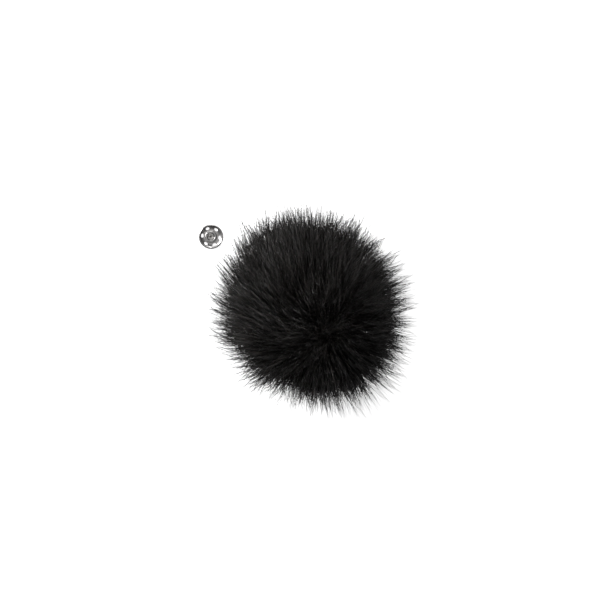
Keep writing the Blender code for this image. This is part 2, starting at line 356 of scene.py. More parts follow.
def ramp(tree, factor, stops):
    """Colours, or grey values, along a factor."""
    made = tree.nodes.new("ShaderNodeValToRGB")
    elements = made.color_ramp.elements
    while len(elements) < len(stops):
        elements.new(0.5)
    for element, (place, colour) in zip(elements, stops):
        element.position = place
        element.color = (colour, colour, colour, 1) if isinstance(colour, float) else (*colour, 1)
    tree.links.new(factor, made.inputs["Fac"])
    return made.outputs["Color"]


def multiply(tree, first, second, factor):
    """One colour darkened by another, as far as the factor says."""
    mix = node(tree, "Mix", data_type="RGBA", blend_type="MULTIPLY")
    mix.inputs["Factor"].default_value = factor
    tree.links.new(first, mix.inputs["A"])
    tree.links.new(second, mix.inputs["B"])
    return mix.outputs["Result"]


def bump(tree, height, strength, distance, normal=None):
    """A normal that leans as a height does, on top of another normal if there is one."""
    made = node(tree, "Bump", Strength=strength, Distance=distance)
    tree.links.new(height, made.inputs["Height"])
    if normal is not None:
        tree.links.new(normal, made.inputs["Normal"])
    return made.outputs["Normal"]


def start_material(name):
    """A blank material, and the place on the object that its patterns follow."""
    material, tree, shader = blank_material(name)
    return material, tree, shader, tree.nodes.new("ShaderNodeTexCoord").outputs["Object"]


def metal(name, dark, light, rough, ring_gap):
    """Plated metal: cloudy tone, painted shade low down, faint turning marks and small dents."""
    material, tree, shader, place = start_material(name)
    tone = ramp(tree, noise(tree, place, 350.0, 3.0), [(0.35, dark), (0.65, light)])
    split = node(tree, "SeparateXYZ")
    tree.links.new(place, split.inputs["Vector"])
    depth = node(tree, "MapRange", From_Min=0.0, From_Max=PAINTED_SHADE_HEIGHT)
    tree.links.new(split.outputs["Z"], depth.inputs["Value"])
    # Painted shade: the colour darkens towards the bottom of each piece
    painted_shade = ramp(tree, depth.outputs["Result"], [(0.0, PAINTED_SHADE_TONE), (1.0, (1.0, 1.0, 1.0))])
    tree.links.new(multiply(tree, tone, painted_shade, 1.0), shader.inputs["Base Color"])
    shader.inputs["Metallic"].default_value = 1.0
    smear = noise(tree, place, 900.0, 5.0)
    low, high = rough
    tree.links.new(ramp(tree, smear, [(0.3, low), (0.7, high)]), shader.inputs["Roughness"])
    rings = node(tree, "TexWave", wave_type="RINGS", rings_direction="Z",
                 Scale=math.tau / (WAVE_TURN * ring_gap), Distortion=1.5, Detail=2.0)
    tree.links.new(place, rings.inputs["Vector"])
    turned_face = bump(tree, rings.outputs["Fac"], 0.08, 0.002 * MM)
    dents = bump(tree, noise(tree, place, 400.0, 2.0), 0.06, 0.004 * MM, turned_face)
    tree.links.new(dents, shader.inputs["Normal"])
    return material


def thread_material():
    """Black sewing thread with a faint fibre grain."""
    material, tree, shader, place = start_material("thread_black")
    grain = noise(tree, place, 5000.0, 3.0)
    colour = ramp(tree, grain, [(0.3, (0.006, 0.006, 0.007)), (0.7, (0.035, 0.034, 0.036))])
    tree.links.new(colour, shader.inputs["Base Color"])
    tree.links.new(ramp(tree, grain, [(0.3, 0.45), (0.7, 0.7)]), shader.inputs["Roughness"])
    tree.links.new(bump(tree, grain, 0.5, 0.03 * MM), shader.inputs["Normal"])
    return material


def felt_material():
    """Pressed wool felt: matted fibres over soft clouds of tone."""
    material, tree, shader, place = start_material("felt_black")
    fibres = noise(tree, place, 2600.0, 8.0, 0.75)
    clouds = noise(tree, place, 250.0)
    colour = ramp(tree, fibres, [(0.35, (0.008, 0.008, 0.009)), (0.62, (0.045, 0.044, 0.047))])
    shade = ramp(tree, clouds, [(0.3, 0.5), (0.7, 1.0)])
    tree.links.new(multiply(tree, colour, shade, 0.6), shader.inputs["Base Color"])
    shader.inputs["Roughness"].default_value = 0.95
    shader.inputs["Sheen Weight"].default_value = 0.25
    tree.links.new(bump(tree, fibres, 0.9, 0.15 * MM), shader.inputs["Normal"])
    return material


def knit_material():
    """Knitted ground: columns of V-shaped stitches laid out on the mesh's own map."""
    material, tree, shader, _ = start_material("knit_black")
    split = node(tree, "SeparateXYZ")
    tree.links.new(tree.nodes.new("ShaderNodeUVMap").outputs["UV"], split.inputs["Vector"])

    def maths(operation, first, second=None):
        """A value worked out from one or two others, each a number or a node's output."""
        made = node(tree, "Math", operation=operation)
        for socket, value in zip(made.inputs, (first, second)):
            if isinstance(value, (int, float)):
                socket.default_value = value
            elif value is not None:
                tree.links.new(value, socket)
        return made.outputs["Value"]

    column = maths("FRACT", maths("MULTIPLY", split.outputs["X"], KNIT_COLUMNS))
    side = maths("ABSOLUTE", maths("SUBTRACT", column, 0.5))
    slant = maths("ADD", maths("MULTIPLY", split.outputs["Y"], KNIT_ROWS), maths("MULTIPLY", side, 1.2))
    yarn = maths("ADD", maths("MULTIPLY", maths("SINE", maths("MULTIPLY", slant, math.tau)), 0.5), 0.5)
    groove = maths("SUBTRACT", 1.0, maths("POWER", maths("MULTIPLY", side, 2.0), 4.0))
    height = maths("MULTIPLY", yarn, groove)
    # The colour follows the stitches' height: darker in the grooves between the yarns, a painted shade
    colour = ramp(tree, height, [(0.1, (0.003, 0.003, 0.003)), (0.8, (0.03, 0.03, 0.032))])
    tree.links.new(colour, shader.inputs["Base Color"])
    shader.inputs["Roughness"].default_value = 0.9
    tree.links.new(bump(tree, height, 0.8, 0.3 * MM), shader.inputs["Normal"])
    return material


def filling_material():
    """White polyester fibre fill."""
    material, tree, shader, place = start_material("filling_white")
    fibres = noise(tree, place, 1800.0, 8.0, 0.7)
    colour = ramp(tree, fibres, [(0.3, (0.66, 0.66, 0.64)), (0.65, (0.86, 0.86, 0.84))])
    tree.links.new(colour, shader.inputs["Base Color"])
    shader.inputs["Roughness"].default_value = 0.9
    tree.links.new(bump(tree, fibres, 0.8, 0.3 * MM), shader.inputs["Normal"])
    return material


def plain_material(name, colour, roughness, specular=0.5):
    """One even tone, for hairs and fibres too thin to show a pattern."""
    material, _, shader = blank_material(name)
    shader.inputs["Base Color"].default_value = (*colour, 1)
    shader.inputs["Roughness"].default_value = roughness
    shader.inputs["Specular IOR Level"].default_value = specular
    return material


# ---- fur

PILE_CENTRE = np.array([AXIS.x, AXIS.y, 50 * MM])
# How far below its centre the coat's form would reach if there were no ground
PILE_DEPTH = 58 * MM
# Hairs reach no further than this to the sides, and over the centre
SIDE_REACH = PILE_RADIUS + 11.0 * MM
TOP_REACH = PILE_TOP + 11.5 * MM - PILE_CENTRE[2]
# Hairs root just inside the bag's surface, at this share of its radius
ROOT_SHARE = 0.98
# The recess round the stud: hairs are pushed out of it, and left out if they still cross it
RECESS = 13.0 * MM
RECESS_GAP = 0.6 * MM
PUSH_HEIGHT = 9.5 * MM
RECESS_HEIGHT = 9.6 * MM
# Hairs that meet the ground lie this much over it, and bend to it over the given height
LOWEST_HAIR = 0.3 * MM
GROUND_LAYER = 1.0 * MM
GROUND_EASE = 0.8 * MM

WHORL = unit(np.array([0.2, -0.32, 1.0]))
# Degrees from the whorl where the coat lies half flat, and where it stands up again towards the rim
FLAT_FROM = 34
FLAT_TO = 58
# The coat on the -X side is brushed this way, by a share that grows over this width of the unit ball
BRUSHED = np.array([0.25, 0.95, 0.0])
BRUSH_SHARE = 0.3
BRUSH_WIDTH = 0.8
# A guide's handles, as shares of its span, and how flat its tip lies
LEAVE_SHARE = 0.45
ARRIVE_SHARE = 0.58
TIP_FLAT = 6.0
HAIR_BEND = 0.5 * MM
# A hair narrows over the last share of its length, to this share of its radius before its point
TAPER_SHARE = 0.3
TAPER_END = 0.6
# Swellings of the coat: heading, half width in degrees, height in mm
LOBES = [(113, 16, 2.0), (310, 26, 3.8), (255, 15, -3.6), (8, 24, -1.6), (60, 12, -0.5)]
# Partings that reach the edge of the coat: heading, width and opening, all in degrees
PARTINGS = [(122, 6, 1.3), (309, 6, 1.2), (255, 8, 0.9), (204, 6, 0.7), (142, 5, 0.8), (319, 4, 0.7),
            (275, 6, 0.8), (168, 5, 0.5), (98, 5, 0.5), (66, 5, 0.5), (38, 4, 0.4), (345, 5, 0.6)]
# Hair shades: brightness, roughness, gloss, and their share of the underfur, guard hair and strays
SHADES = [(0.002, 0.40, 0.20, 0.6, 0.35, 0.30),
          (0.003, 0.26, 0.60, 0.4, 0.35, 0.30),
          (0.006, 0.18, 1.00, 0.0, 0.22, 0.22),
          (0.035, 0.20, 1.00, 0.0, 0.08, 0.18)]
# The dark layer of painted shadow deep in the pile: its size as a share of the coat's, and its lower edge's
# radius and height
SHADOW_MAT_SHARE = 0.74
SHADOW_MAT_LOW_REACH = 28 * MM
SHADOW_MAT_LOW = 15 * MM
SHADOW_MAT_THICK = 1.5 * MM
# The dark layer is painted shadow: black with no gloss, so that it looks like shade where the hair opens
# over it
SHADOW_MAT_TONE = (0.002, 0.002, 0.002)


def heading_of(places):
    """Headings about the upright axis, in degrees."""
    return np.degrees(np.arctan2(places[:, 1], places[:, 0]))


def degrees_off(heading, centre):
    """How far headings are from a centre, between -180 and 180 degrees."""
    return (heading - centre + 180) % 360 - 180


def surface_radius(direction):
    """Distance from the pile's centre to its outer form."""
    flat = np.linalg.norm(direction[:, :2], axis=1)
    up = direction[:, 2]
    half_height = np.where(up > 0, PILE_TOP - PILE_CENTRE[2], PILE_DEPTH)
    form = 1 / np.sqrt((flat / PILE_RADIUS) ** 2 + (up / half_height) ** 2)
    heading = heading_of(direction)
    lobe = np.zeros(len(direction))
    for centre, width, amount in LOBES:
        lobe += amount * MM * np.exp(-((degrees_off(heading, centre) / width) ** 2))
    return form + lobe * flat


def bag_point(direction):
    """Where hairs root on the bag, seen from its middle along the given directions."""
    return BAG_CENTRE + direction * BAG_RADIUS * ROOT_SHARE


def bezier(points, t):
    """Cubic curves through four control points each, at the given parameters (strand, step)."""
    t = t[..., None]
    a, b, c, d = (p[:, None] for p in points)
    return a * (1 - t) ** 3 + 3 * b * t * (1 - t) ** 2 + 3 * c * t**2 * (1 - t) + d * t**3


class LeanField:
    """A smooth random lean over the ball, so that neighbouring tufts lie the same way and part."""

    def __init__(self, rng, waves=24, low=6.0, high=18.0, strength=0.11):
        self.waves = unit(rng.normal(0, 1, (waves, 3))) * rng.uniform(low, high, (waves, 1))
        self.phase = rng.random(waves) * math.tau
        self.push = rng.normal(0, strength / math.sqrt(waves / 2), (waves, 3))

    def at(self, directions):
        return np.sin(directions @ self.waves.T + self.phase) @ self.push


class Locks:
    """Locks of hair: neighbouring tufts lean to a common tip and share a length."""

    def __init__(self, rng, count=620):
        self.centres = unit(random_directions(rng, count) + rng.normal(0, 0.035, (count, 3)))
        self.pull = rng.uniform(0.0, 0.26, (count, 1))
        self.extra = rng.normal(0, 1.0, count) * MM

    def gather(self, directions, share):
        near = np.argmax(directions @ self.centres.T, axis=1)
        pull = self.pull[near] * share
        return unit(directions * (1 - pull) + self.centres[near] * pull), self.extra[near] * share


def comb(directions, flat):
    """Which way the coat lies: flat away from the whorl, radial at the rim, and brushed on the -X side."""
    along = directions @ WHORL
    angle = np.degrees(np.arccos(along.clip(-1, 1)))
    away = unit(along[:, None] * directions - WHORL + 1e-9)
    lying = angle**2 / (angle**2 + FLAT_FROM**2) * np.exp(-((angle / FLAT_TO) ** 4))
    side = np.clip(0.5 - directions[:, 0] / BRUSH_WIDTH, 0, 1)
    return (flat * lying)[:, None] * away + (BRUSH_SHARE * side)[:, None] * BRUSHED


def open_partings(path, t):
    """Turn hairs about the upright axis, away from the partings nearest to their tips."""
    tip = path[:, -1, :2] - PILE_CENTRE[:2]
    heading = heading_of(tip)
    turn = np.zeros(len(path))
    for centre, width, opening in PARTINGS:
        off = degrees_off(heading, centre)
        turn += opening * np.sign(off) * np.exp(-np.abs(off) / width)
    reach = np.clip(np.linalg.norm(tip, axis=1) / PILE_RADIUS, 0, 1) ** 4
    angle = np.radians(turn * reach)[:, None] * t**1.5
    side = path[:, :, :2] - PILE_CENTRE[:2]
    path[:, :, 0] = PILE_CENTRE[0] + side[:, :, 0] * np.cos(angle) - side[:, :, 1] * np.sin(angle)
    path[:, :, 1] = PILE_CENTRE[1] + side[:, :, 0] * np.sin(angle) + side[:, :, 1] * np.cos(angle)
    return path


def tuft_paths(rng, coat, tufts, per_tuft, reach, spread, lean, share=1.0, draw=0.85, steps=7):
    """Hairs in tufts: each tuft follows one guide curve and draws together towards its tip."""
    field, locks = coat
    directions = random_directions(rng, tufts)
    sweep = 0.45 + 0.25 * rng.random(tufts)
    wander = field.at(directions)
    tip_direction = unit(directions + comb(directions, sweep) + wander + rng.normal(0, lean, (tufts, 3)))
    tip_direction, extra = locks.gather(tip_direction, share)
    length = reach(rng, tufts) + extra
    root = bag_point(directions)
    tip = PILE_CENTRE + tip_direction * (surface_radius(tip_direction) + length)[:, None]
    span = np.linalg.norm(tip - root, axis=1, keepdims=True)
    leave = root + directions * span * LEAVE_SHARE
    stir = wander + rng.normal(0, 1.5 * lean, (tufts, 3))
    lay = unit(tip_direction + comb(tip_direction, TIP_FLAT) + stir)
    arrive = tip - lay * span * ARRIVE_SHARE
    across = unit(np.cross(directions, rng.normal(0, 1, (tufts, 3))))
    over = np.cross(directions, across)

    owner = np.repeat(np.arange(tufts), per_tuft)
    count = len(owner)
    stop = 1 - 0.35 * rng.random((count, 1)) ** 2
    t = np.linspace(0, 1, steps)[None] * stop
    path = bezier([p[owner] for p in (root, leave, arrive, tip)], t)
    turn = rng.random(count) * math.tau
    off = np.sqrt(rng.random(count)) * spread
    widen = (1 + 1.3 * t) * (1 - draw * t**3)
    offset = across[owner] * np.cos(turn)[:, None] + over[owner] * np.sin(turn)[:, None]
    path += offset[:, None] * (off[:, None] * widen)[..., None]
    bend = rng.normal(0, HAIR_BEND, (count, 3))
    path += bend[:, None] * (t**2)[..., None]
    return open_partings(path, t)


def settle(path, rng):
    """Keep hairs in bounds, over the ground and out of the stud's recess; leave out any that cross it."""
    root = path[:, :1, :].copy()
    reach = np.abs(path - PILE_CENTRE).max(axis=1)
    room = np.array([SIDE_REACH, SIDE_REACH, TOP_REACH])
    shrink = np.minimum(1, (room / reach).min(axis=1))[:, None, None]
    path = root + (path - root) * shrink
    ground = LOWEST_HAIR + GROUND_LAYER * rng.random((len(path), 1))
    path[:, :, 2] = ground + GROUND_EASE * np.logaddexp(0, (path[:, :, 2] - ground) / GROUND_EASE)
    middle = PILE_CENTRE[:2]
    side = path[:, :, :2] - middle
    distance = np.linalg.norm(side, axis=2)
    need = np.where(path[:, :, 2] < PUSH_HEIGHT, RECESS + RECESS_GAP, 0)
    scale = np.maximum(1, need / np.maximum(distance, 1e-6))
    path[:, :, :2] = middle + side * scale[:, :, None]
    share = np.linspace(0, 1, 5)[:, None]
    fine = path[:, :-1, None] * (1 - share) + path[:, 1:, None] * share
    near = np.linalg.norm(fine[..., :2] - middle, axis=-1) < RECESS
    crosses = (near & (fine[..., 2] < RECESS_HEIGHT)).any(axis=(1, 2))
    return path[~crosses]


def strand_mesh(name, path, thickness, materials, weights, rng):
    """Three-sided tapered hairs along paths, all in one mesh, with a material and a tip material each."""
    count, steps = path.shape[:2]
    along = unit(np.gradient(path, axis=1))
    helper = unit(rng.normal(0, 1, (count, 1, 3)))
    side = unit(np.cross(along, helper))
    other = np.cross(along, side)
    t = np.linspace(0, 1, steps)
    taper = np.minimum(1, (1 - t) / TAPER_SHARE)[:-1] * (1 - TAPER_END) + TAPER_END
    ring = []
    for corner in range(3):
        angle = math.tau * corner / 3
        offset = side * math.cos(angle) + other * math.sin(angle)
        ring.append(path[:, :-1] + offset[:, :-1] * (thickness[:, None] * taper[None])[..., None])
    rings = np.stack(ring, axis=2)  # strand, step, corner, xyz
    verts_per = (steps - 1) * 3 + 1
    verts = np.concatenate([rings.reshape(count, -1, 3), path[:, -1:, :]], axis=1).reshape(-1, 3)
    quads = []
    for step in range(steps - 2):
        for corner in range(3):
            a, b = step * 3 + corner, step * 3 + (corner + 1) % 3
            quads.append((a, b, b + 3, a + 3))
    last = (steps - 2) * 3
    tris = [(last + c, last + (c + 1) % 3, verts_per - 1) for c in range(3)]
    base = np.arange(count)[:, None, None] * verts_per
    quad_loops = (np.array(quads)[None] + base).reshape(count, -1)
    tri_loops = (np.array(tris)[None] + base).reshape(count, -1)
    loops = np.concatenate([quad_loops, tri_loops], axis=1).reshape(-1)
    sizes = np.tile(np.array([4] * len(quads) + [3] * len(tris)), count)
    starts = np.concatenate([[0], np.cumsum(sizes)[:-1]])
    mesh = bpy.data.meshes.new(name)
    mesh.vertices.add(len(verts))
    mesh.vertices.foreach_set("co", verts.astype(np.float32).ravel())
    mesh.loops.add(len(loops))
    mesh.loops.foreach_set("vertex_index", loops.astype(np.int32))
    mesh.polygons.add(len(sizes))
    mesh.polygons.foreach_set("loop_start", starts.astype(np.int32))
    mesh.update(calc_edges=True)
    mesh.shade_smooth()
    for material in materials:
        mesh.materials.append(material)
    shade = rng.choice(len(weights), count, p=weights)
    is_tip = np.array([step >= steps - 3 for step in range(steps - 2) for _ in range(3)] + [True] * 3)
    index = (shade[:, None] * 2 + is_tip[None]).reshape(-1)
    mesh.polygons.foreach_set("material_index", index.astype(np.int32))
    return show(name, mesh)


def under_reach(rng, count):
    """The underfur stops short of the coat's form."""
    return (-11 + 8.5 * rng.random(count)) * MM


def guard_reach(rng, count):
    """Most guard hairs end near the coat's form, and a few pass it by far."""
    return (rng.gamma(1.4, 5.2, count) - 4.4).clip(-6, 16) * MM


def stray_reach(rng, count):
    """Strays pass the coat's form."""
    return (rng.gamma(2.6, 3.5, count) + 0.5).clip(-1, 16) * MM


def build_shadow_mat(material):
    """A lumpy dark layer deep in the pile, open round the stud: it keeps light from showing through, and it
    is painted shadow where the hair opens over it.
    """
    middle = PILE_CENTRE[2]
    top = (PILE_TOP - middle) * SHADOW_MAT_SHARE
    wide = PILE_RADIUS * SHADOW_MAT_SHARE
    low = math.acos(SHADOW_MAT_LOW_REACH / wide)
    drop = (middle - SHADOW_MAT_LOW) / math.sin(low)
    outline = [(wide * math.sin(a), middle + top * math.cos(a)) for a in np.linspace(0.0, math.pi / 2, 40)]
    outline += [(wide * math.cos(a), middle - drop * math.sin(a)) for a in np.linspace(0.0, low, 24)[1:]]
    outline += [(max(radius - SHADOW_MAT_THICK, 0.0), height - SHADOW_MAT_THICK * (height > middle))
                for radius, height in reversed(outline)]
    mat = turned("underfur_shadow_mat", outline, AXIS, material, steps=180)
    roughen(mat.data, 1.5 * MM, 120.0, 2.0)
    roughen(mat.data, 0.7 * MM, 500.0, 6.0)
    mat.data.shade_smooth()
    return mat


def hair_materials():
    """A material for each hair shade, and after it a slightly paler, warmer one for its tips."""
    materials = []
    for number, (value, rough, gloss, *_) in enumerate(SHADES):
        root = (value, value * 0.97, value * 0.94)
        tip = (value * 1.6 + 0.003, value * 1.4 + 0.0024, value * 1.3 + 0.002)
        materials.append(plain_material(f"hair_{number}", root, rough, gloss))
        materials.append(plain_material(f"hair_tip_{number}", tip, rough, gloss))
    return materials


def build_fur():
    """The coat: underfur, guard hair and strays in separate pieces, over a dark layer of painted shadow."""
    rng = np.random.default_rng(7)
    coat = LeanField(rng), Locks(rng)
    materials = hair_materials()
    shares = np.array([row[3:] for row in SHADES]).T
    made = []

    def add(name, path, low, high, kind):
        path = settle(path, rng)
        thickness = (low + (high - low) * rng.random(len(path))) * MM
        made.append(strand_mesh(name, path, thickness, materials, shares[kind], rng))

    for number in range(3):
        path = tuft_paths(rng, coat, 1100, 5, under_reach, 1.2 * MM, 0.06)
        add(f"underfur_{number}", path, 0.10, 0.14, 0)
    for number in range(8):
        path = tuft_paths(rng, coat, 1850, 2, guard_reach, 0.5 * MM, 0.09, draw=0.6, steps=9)
        add(f"guard_hair_{number}", path, 0.085, 0.13, 1)
    path = tuft_paths(rng, coat, 5500, 1, stray_reach, 0.1 * MM, 0.13, share=0.4)
    add("stray_hair", path, 0.09, 0.13, 2)
    # The dark layer's black is painted shadow
    made.append(build_shadow_mat(plain_material("hair_mat_painted_shadow", SHADOW_MAT_TONE, 1.0, 0.0)))
    for piece in made:
        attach(piece, "pompom")
    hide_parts("fur_pile")


# ---- press stud

SOCKET_AXIS = Vector(((SOCKET_LOW.x + SOCKET_HIGH.x) / 2, (SOCKET_LOW.y + SOCKET_HIGH.y) / 2, 0.0))
STUD_LOW, STUD_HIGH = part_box("stud_plate")
STUD_RADIUS = (STUD_HIGH.x - STUD_LOW.x) / 2
SHEET = 0.3 * MM
FACE_HEIGHT = 0.55 * MM
STUD_AXIS = Vector((AXIS.x, AXIS.y, STUD_HIGH.z - FACE_HEIGHT))
DISH_START = 3.9 * MM
RIM_RADIUS = 0.65 * MM
RIM_HEIGHT = 1.25 * MM
# The rolled rim's arc meets the dish at this angle, in degrees
RIM_MEETS_DISH = 115
HOLE_COUNT = 6
HOLE_REACH = 5.25
HOLE_RING_RADIUS = HOLE_REACH * MM
HOLE_SIZE = (1.45 * MM, 2.35 * MM)
HOLE_TURN = math.radians(-6.7)
HOLE_BEVEL = 0.03 * MM
COLLAR_RADIUS = 3.4 * MM
COLLAR_HEIGHT = SOCKET_HIGH.z
SHOULDER = 0.35 * MM
MOUTH_RADIUS = 1.8 * MM
# The mouth's funnel from its throat to the collar's top: (distance out, distance down) in mm
FUNNEL = [(0.0, 0.75), (0.0, 0.66), (0.04, 0.57), (0.52, 0.07), (0.6, 0.02), (0.75, 0.0)]
NECK_RADIUS = 1.1 * MM
BALL_RADIUS = 1.6 * MM
BALL_HALF_HEIGHT = 0.7 * MM
BALL_DROP = 1.95 * MM
SPRING_RADIUS = 2.7 * MM
SPRING_HEIGHT = 1.9 * MM
LEG_OFFSET = 1.5 * MM
WIRE_RADIUS = 0.19 * MM
WIRE_GAP = 0.04 * MM
# The spring's ring is open between this angle and its mirror image
SPRING_END = math.radians(80)
CUP_LOW, CUP_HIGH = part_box("socket_cup")
CUP_WALL = 0.25 * MM
CUP_FOOT = 0.1 * MM
CUP_LIP = 0.06 * MM
DIMPLE_RADIUS = 0.35 * MM
DIMPLE_DEPTH = 0.18 * MM
DIMPLE_STEPS = 8


def plate_rim():
    """Outline of a plate from its dish out over the rolled rim, and back under it."""
    rim_centre = (STUD_RADIUS - RIM_RADIUS, RIM_HEIGHT - RIM_RADIUS)
    over = round_arc(rim_centre, RIM_RADIUS, RIM_MEETS_DISH, 0, 14)
    under = round_arc(rim_centre, RIM_RADIUS - SHEET, 0, RIM_MEETS_DISH, 14)
    width = over[0][0] - DISH_START
    rise = over[0][1] - FACE_HEIGHT
    steps = 12
    dish = []
    for step in range(steps):
        across = step / steps
        dish.append((DISH_START + width * across, FACE_HEIGHT + rise * across**2))
    back = [(radius, height - SHEET) for radius, height in reversed(dish)]
    skirt = [(STUD_RADIUS, SHEET / 2), (STUD_RADIUS - SHEET / 2, 0.0), (STUD_RADIUS - SHEET, SHEET / 4)]
    return [*dish, *over, *skirt, *under, *back]


def punch_holes(plate):
    """Punch the ring of oval sewing holes, and round their edges off."""
    shape = bmesh.new()
    for number in range(HOLE_COUNT):
        turn = Matrix.Rotation(HOLE_TURN + math.tau * number / HOLE_COUNT, 4, "Z")
        place = turn @ Matrix.Translation((HOLE_RING_RADIUS, 0, 0))
        oval = Matrix.Diagonal((HOLE_SIZE[0] / 2, HOLE_SIZE[1] / 2, 6 * MM, 1))
        bmesh.ops.create_cone(shape, cap_ends=True, segments=40, radius1=1, radius2=1, depth=1,
                              matrix=place @ oval)
    cutter = show("hole_cutter", mesh_of("hole_cutter", shape))
    cutter.location = plate.location
    cut = plate.modifiers.new("holes", "BOOLEAN")
    cut.object = cutter
    edge = plate.modifiers.new("edges", "BEVEL")
    edge.width = HOLE_BEVEL
    edge.segments = 2
    edge.limit_method = "ANGLE"
    edge.angle_limit = SHARP_ANGLE
    apply_modifiers(plate)
    bpy.data.objects.remove(cutter)
    plate.data.shade_smooth()
    plate.data.set_sharp_from_angle(angle=SHARP_ANGLE)


def build_socket_plate(nickel):
    """The loose half's plate: collar with its funnel, dish and rolled rim."""
    funnel = [(MOUTH_RADIUS + across * MM, COLLAR_HEIGHT - down * MM) for across, down in FUNNEL]
    throat = SPRING_HEIGHT + WIRE_RADIUS + WIRE_GAP
    shoulder = (COLLAR_RADIUS - SHOULDER, COLLAR_HEIGHT - SHOULDER)
    plate = turned("visual_socket_plate", [
        *funnel,
        *round_arc(shoulder, SHOULDER, 90, 0),
        *round_arc((COLLAR_RADIUS + SHEET, FACE_HEIGHT + SHEET), SHEET, 180, 270, 8),
        *plate_rim(),
        (COLLAR_RADIUS - SHEET, FACE_HEIGHT - SHEET),
        *round_arc(shoulder, SHOULDER - SHEET, 0, 90),
        *[(radius + 0.5 * SHEET, max(height - SHEET, throat)) for radius, height in reversed(funnel[1:])],
    ], SOCKET_AXIS, nickel)
    punch_holes(plate)
    return plate


def build_socket_cup(lit_nickel):
    """The closed cup inside the collar, with a dimple in its floor, in a paler nickel that is painted light
    for its shaded floor.
    """
    radius, height = (CUP_HIGH.x - CUP_LOW.x) / 2, CUP_HIGH.z
    inner = radius - CUP_WALL
    dimple = []
    for step in range(1, DIMPLE_STEPS + 1):
        share = step / DIMPLE_STEPS
        down = DIMPLE_DEPTH * math.sin(math.pi / 2 * share) ** 0.7
        dimple.append((DIMPLE_RADIUS * (1 - share), SHEET - down))
    cup = turned("visual_socket_cup", [
        (0.0, 0.0),
        *round_arc((radius - CUP_FOOT, CUP_FOOT), CUP_FOOT, -90, 0, 4),
        *round_arc((radius - CUP_LIP, height - CUP_LIP), CUP_LIP, 0, 90, 4),
        (inner, height),
        *round_arc((inner - SHEET, 2 * SHEET), SHEET, 0, -90),
        (1.3 * DIMPLE_RADIUS, SHEET),
        *dimple,
    ], SOCKET_AXIS, lit_nickel, steps=96)
    cup.data.shade_smooth()
    cup.data.set_sharp_from_angle(angle=SHARP_ANGLE)
    return cup


def build_socket_spring(wire):
    """The ring spring: three arcs of wire, and between them the two straight legs across the mouth."""
    leg = math.acos(LEG_OFFSET / SPRING_RADIUS)
    path = []
    for start, end in ((SPRING_END, leg), (-leg, leg - math.pi), (math.pi - leg, math.pi - SPRING_END)):
        for angle in np.linspace(start, end, 24):
            path.append((SPRING_RADIUS * math.cos(angle), SPRING_RADIUS * math.sin(angle), SPRING_HEIGHT))
    mesh = tube_mesh("spring", [(np.array(path), WIRE_RADIUS)], 16)
    return add_mesh("visual_socket_spring", mesh, wire, SOCKET_AXIS)


def build_socket(nickel, lit_nickel, wire):
    """The loose half of the press stud."""
    for piece, stands_for, slot in ((build_socket_plate(nickel), "socket_plate", "nickel"),
                                    (build_socket_cup(lit_nickel), "socket_cup", "nickel"),
                                    (build_socket_spring(wire), "socket_spring", "spring_wire")):
        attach(piece, "socket_half")
        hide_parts(stands_for)


def ball_side(inset):
    """Half outline of the ball stud from its tip to its neck, moved in by inset."""
    radii = (BALL_RADIUS - inset, BALL_HALF_HEIGHT - inset)
    neck = math.degrees(math.acos((NECK_RADIUS - inset) / radii[0]))
    return arc((0.0, -BALL_DROP), radii, -90, neck, 20)


def build_stud(nickel):
    """The half under the pom-pom: ball stud, foot, dish and rolled rim, face down."""
    foot = (NECK_RADIUS + SHEET, -SHEET)
    plate = turned("visual_stud_plate", [
        *ball_side(0.0),
        *round_arc(foot, SHEET, 180, 90, 8),
        *[(radius, FACE_HEIGHT - height) for radius, height in plate_rim()],
        *round_arc(foot, 2 * SHEET, 90, 180, 8),
        *reversed(ball_side(SHEET)),
    ], STUD_AXIS, nickel)
    punch_holes(plate)
    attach(plate, "stud_half")
    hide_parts("stud_plate")


# ---- stitches and felt

PATCH_LOW, PATCH_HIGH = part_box("base_patch")
PATCH_RADIUS = (PATCH_HIGH.x - PATCH_LOW.x) / 2
PATCH_THICK = PATCH_HIGH.z - PATCH_LOW.z
FUZZ_RADIUS = 0.018 * MM
STUD_THREAD = 0.22 * MM
PATCH_THREAD = 0.3 * MM
# Threads from felt to felt, as (reach from the stud's axis, height over its face) in mm
HOLE_STITCH = [(5.25, 1.2), (5.25, 0.5), (5.28, -0.2), (5.85, -0.95), (7.0, -1.12), (7.85, -0.75),
               (8.05, 0.0), (8.05, 0.6), (8.0, 1.3)]
EDGE_STITCH = [(10.0, 1.3), (10.2, 0.55), (10.9, 0.25), (11.9, 0.3), (12.6, 1.05), (12.65, 2.25),
               (12.6, 3.55)]
# The three threads in a hole: their gap, its growth per mm of reach, and the middle one's extra height
STRAND_GAP = 0.46
STRAND_SPREAD = 0.05
STRAND_STEP = 0.05
# A whip stitch turns about the upright axis by this angle in each mm out from its middle
WHIP_SLANT = 0.012
WHIP_MIDDLE = 11.5


def around(reach, angle, height):
    """A place from its reach and height in mm and its angle."""
    return (reach * MM * math.cos(angle), reach * MM * math.sin(angle), height * MM)


def hole_stitch(name, middle, thread):
    """Three threads side by side through one hole of the plate and over its rim."""
    pieces = []
    for number, strand in enumerate((-1, 0, 1), 1):
        points = []
        for reach, height in HOLE_STITCH:
            angle = middle + strand * (STRAND_GAP + STRAND_SPREAD * (reach - HOLE_REACH)) / reach
            points.append(around(reach, angle, height - STRAND_STEP * abs(strand)))
        pieces.append(twisted_thread(f"{name}_{number}", points, STUD_THREAD, thread, STUD_AXIS,
                                     pitch=1.2 * MM))
    return join(pieces, name)


def whip_stitch(name, middle, thread):
    """One stitch over the edge of the felt."""
    points = [around(reach, middle + WHIP_SLANT * (reach - WHIP_MIDDLE), height)
              for reach, height in EDGE_STITCH]
    return twisted_thread(name, points, PATCH_THREAD, thread, STUD_AXIS)


